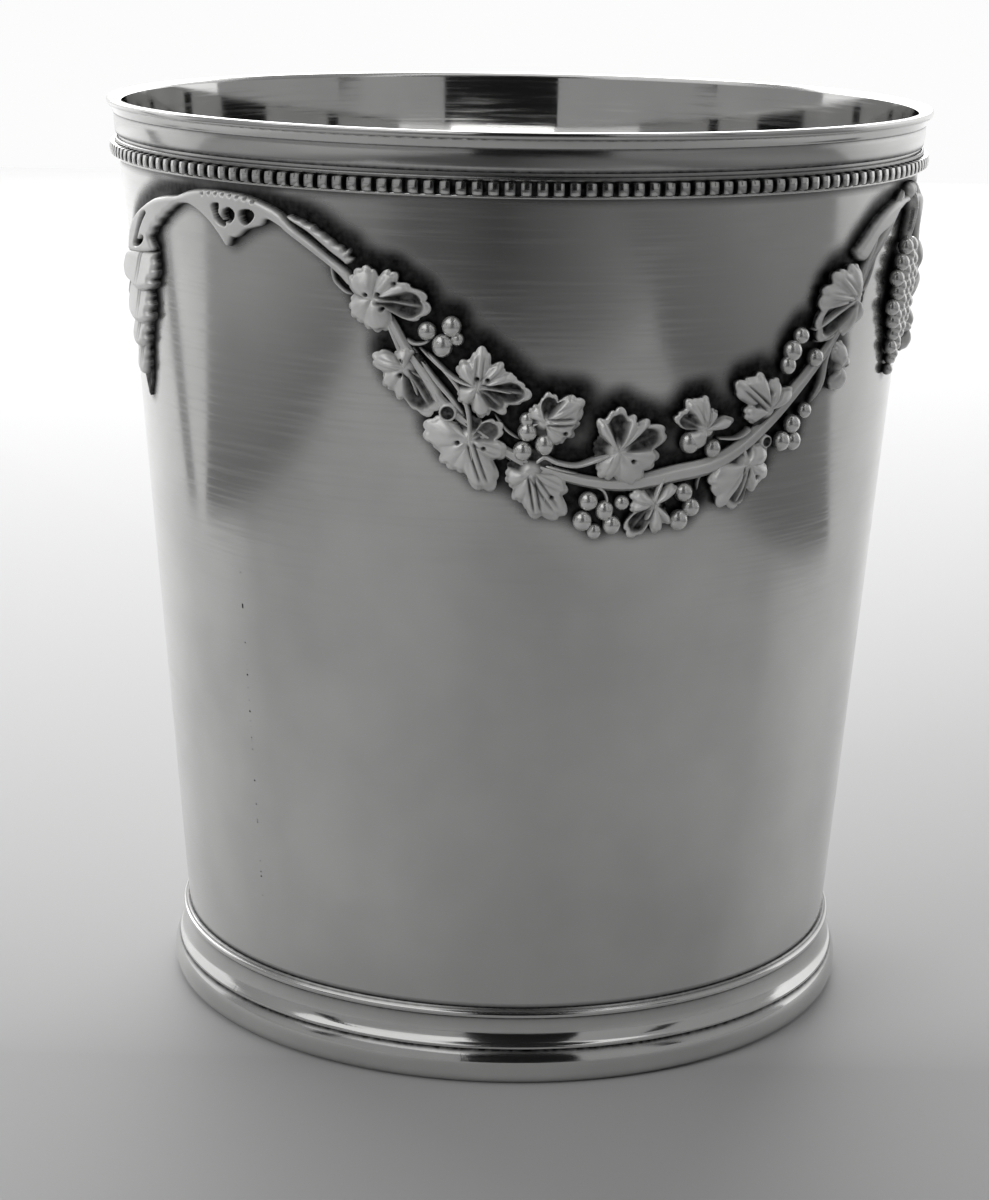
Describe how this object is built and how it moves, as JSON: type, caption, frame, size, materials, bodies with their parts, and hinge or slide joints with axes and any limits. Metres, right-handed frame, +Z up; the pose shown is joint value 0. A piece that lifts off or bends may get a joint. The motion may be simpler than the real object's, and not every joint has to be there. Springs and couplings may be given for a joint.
{
  "type": "julep cup",
  "caption": "Silver julep cup: tapered beaker with a moulded lip, beaded wire, ringed foot and an applied grapevine garland.",
  "frame": {"origin": "on the table plane, at the middle of the foot", "axes": "+Z up along the cup's axis; -Y is the front, where the bunch of grapes hangs; +X to the right seen from the front"},
  "size_m": [0.083, 0.083, 0.092],
  "materials": {
    "polished_silver": "hand-polished silver, softly bright, with fine scratches",
    "moulding_silver": "bright polished silver with dark tarnish in the creases",
    "chased_silver": "cast and chased silver, matt on the leaves, oxidised dark in the hollows"
  },
  "bodies": {
    "root": {"body_wall": "polished_silver", "base_plate": "polished_silver", "lip_moulding": "moulding_silver", "beaded_wire": "moulding_silver", "foot_band": "moulding_silver", "foot_ring": "moulding_silver", "front_knot": "chased_silver", "grape_pendant": "chased_silver", "left_vine": "chased_silver", "left_arch": "chased_silver", "left_arch_strip": "chased_silver", "left_front_strip": "chased_silver", "left_tail_drop": "chased_silver", "right_vine": "chased_silver", "right_arch": "chased_silver", "right_arch_strip": "chased_silver", "right_front_strip": "chased_silver", "right_tail_drop": "chased_silver", "left_leaf_1": "chased_silver", "left_leaf_2": "chased_silver", "left_leaf_3": "chased_silver", "left_leaf_4": "chased_silver", "left_leaf_5": "chased_silver", "left_leaf_6": "chased_silver", "left_leaf_7": "chased_silver", "left_leaf_8": "chased_silver", "left_leaf_9": "chased_silver", "left_leaf_10": "chased_silver", "left_leaf_11": "chased_silver", "left_leaf_12": "chased_silver", "left_leaf_13": "chased_silver", "right_leaf_1": "chased_silver", "right_leaf_2": "chased_silver", "right_leaf_3": "chased_silver", "right_leaf_4": "chased_silver", "right_leaf_5": "chased_silver", "right_leaf_6": "chased_silver", "right_leaf_7": "chased_silver", "right_leaf_8": "chased_silver", "right_leaf_9": "chased_silver", "right_leaf_10": "chased_silver", "right_leaf_11": "chased_silver", "right_leaf_12": "chased_silver", "right_leaf_13": "chased_silver", "left_berries_1": "chased_silver", "left_berries_2": "chased_silver", "left_berries_3": "chased_silver", "left_berries_4": "chased_silver", "left_berries_5": "chased_silver", "left_berries_6": "chased_silver", "left_berries_7": "chased_silver", "right_berries_1": "chased_silver", "right_berries_2": "chased_silver", "right_berries_3": "chased_silver", "right_berries_4": "chased_silver", "right_berries_5": "chased_silver", "right_berries_6": "chased_silver", "right_berries_7": "chased_silver"}
  },
  "joints": []
}
